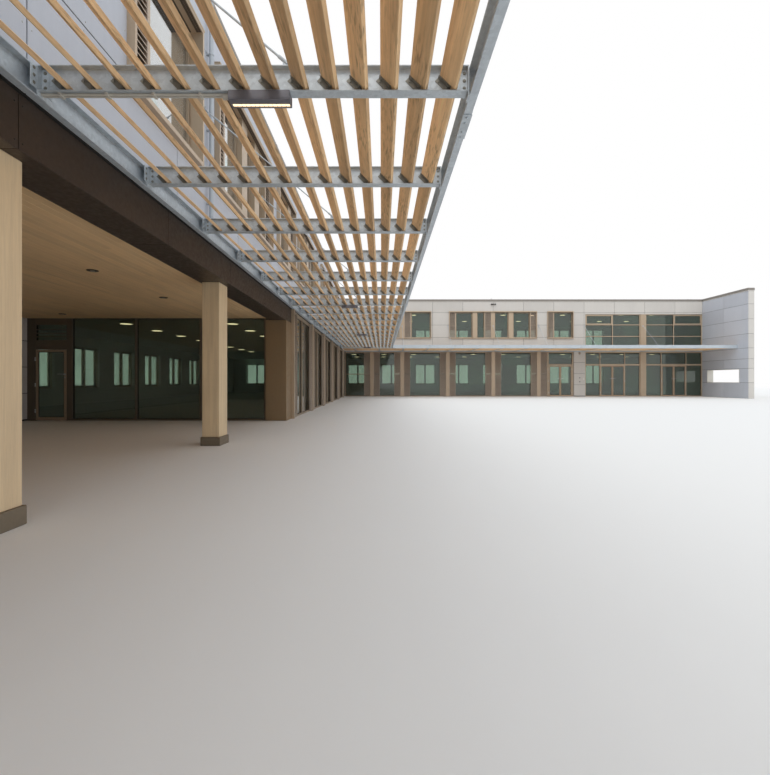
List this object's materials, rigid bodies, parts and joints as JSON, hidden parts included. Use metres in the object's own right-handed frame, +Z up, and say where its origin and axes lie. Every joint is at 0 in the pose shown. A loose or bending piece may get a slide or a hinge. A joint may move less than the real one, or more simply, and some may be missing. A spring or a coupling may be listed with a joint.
{
  "type": "school building, 1:2 scale model",
  "caption": "L-shaped school building with a panelled upper storey over a glazed ground storey, a covered area and slatted canopies on steel beams.",
  "frame": {"origin": "under the middle of the building's plan, at ground level", "axes": "+X along the far wing towards its gable wall, +Y from the court to the back, +Z up"},
  "size_m": [21.845, 29.845, 4],
  "materials": {
    "facade_panel": "matt fibre cement panels",
    "coping_metal": "powder coated",
    "concrete": "smooth concrete",
    "bronze_metal": "satin beige bronze",
    "pillar_bronze": "satin bronze",
    "dark_fascia": "satin dark brown",
    "window_metal": "satin brown",
    "shutter_metal": "satin taupe",
    "glass": "tinted insulating glass",
    "larch": "planed larch",
    "soffit_wood": "oiled boards",
    "column_wood": "laminated timber",
    "galvanised": "hot dip galvanised",
    "lamp_metal": "satin black",
    "lining_metal": "satin beige",
    "door_frame": "satin beige bronze"
  },
  "bodies": {
    "building": {"ground_floor": "concrete", "first_floor": "concrete", "roof_slabs": "concrete", "roof_copings": "coping_metal", "far_upper_wall": "facade_panel", "left_upper_wall": "facade_panel", "entrance_header": "facade_panel", "entrance_pier": "facade_panel", "entrance_post": "bronze_metal", "back_wall": "facade_panel", "outer_wall": "facade_panel", "end_wall": "facade_panel", "gable_wall": "facade_panel", "fin_wall": "facade_panel", "fin_window_lining": "lining_metal", "recess_side_wall": "facade_panel", "fascia_beam": "dark_fascia", "timber_soffit": "soffit_wood", "timber_columns": "column_wood", "column_bases": "dark_fascia", "bronze_pillars": "pillar_bronze", "pilasters": "bronze_metal", "ground_mullions": "window_metal", "ground_rails": "window_metal", "ground_glass": "glass", "ground_shutters": "shutter_metal", "window_surrounds": "window_metal", "window_shutters": "shutter_metal", "window_glass": "glass", "door_hinges": "galvanised", "entrance_mullions": "bronze_metal", "entrance_rails": "bronze_metal", "entrance_glass": "glass", "canopy_channels": "galvanised", "canopy_beams": "galvanised", "far_canopy_slats": "larch", "left_canopy_slats_far": "larch", "left_canopy_slats_near": "larch", "stay_rods": "galvanised", "canopy_lamps": "lamp_metal"},
    "recess_door": {"recess_door": "door_frame"},
    "court_door_left": {"court_door_left": "door_frame"},
    "court_door_right": {"court_door_right": "door_frame"},
    "entrance_door_a_left": {"entrance_door_a_left": "door_frame"},
    "entrance_door_a_right": {"entrance_door_a_right": "door_frame"},
    "entrance_door_b_left": {"entrance_door_b_left": "door_frame"},
    "entrance_door_b_right": {"entrance_door_b_right": "door_frame"}
  },
  "joints": [
    {"name": "recess_door_hinge", "type": "hinge", "parent": "building", "child": "recess_door", "pos_m": [-8.099, -3.742, 0.63], "axis": [0, 0, -1], "range_deg": [0, 90]},
    {"name": "court_door_left_hinge", "type": "hinge", "parent": "building", "child": "court_door_left", "pos_m": [4.366, 8.058, 0.63], "axis": [0, 0, -1], "range_deg": [0, 90]},
    {"name": "court_door_right_hinge", "type": "hinge", "parent": "building", "child": "court_door_right", "pos_m": [5.314, 8.058, 0.63], "axis": [0, 0, 1], "range_deg": [0, 90]},
    {"name": "entrance_door_a_left_hinge", "type": "hinge", "parent": "building", "child": "entrance_door_a_left", "pos_m": [6.5, 8.058, 0.63], "axis": [0, 0, -1], "range_deg": [0, 90]},
    {"name": "entrance_door_a_right_hinge", "type": "hinge", "parent": "building", "child": "entrance_door_a_right", "pos_m": [7.487, 8.058, 0.63], "axis": [0, 0, 1], "range_deg": [0, 90]},
    {"name": "entrance_door_b_left_hinge", "type": "hinge", "parent": "building", "child": "entrance_door_b_left", "pos_m": [9.028, 8.058, 0.63], "axis": [0, 0, -1], "range_deg": [0, 90]},
    {"name": "entrance_door_b_right_hinge", "type": "hinge", "parent": "building", "child": "entrance_door_b_right", "pos_m": [10.015, 8.058, 0.63], "axis": [0, 0, 1], "range_deg": [0, 90]}
  ]
}
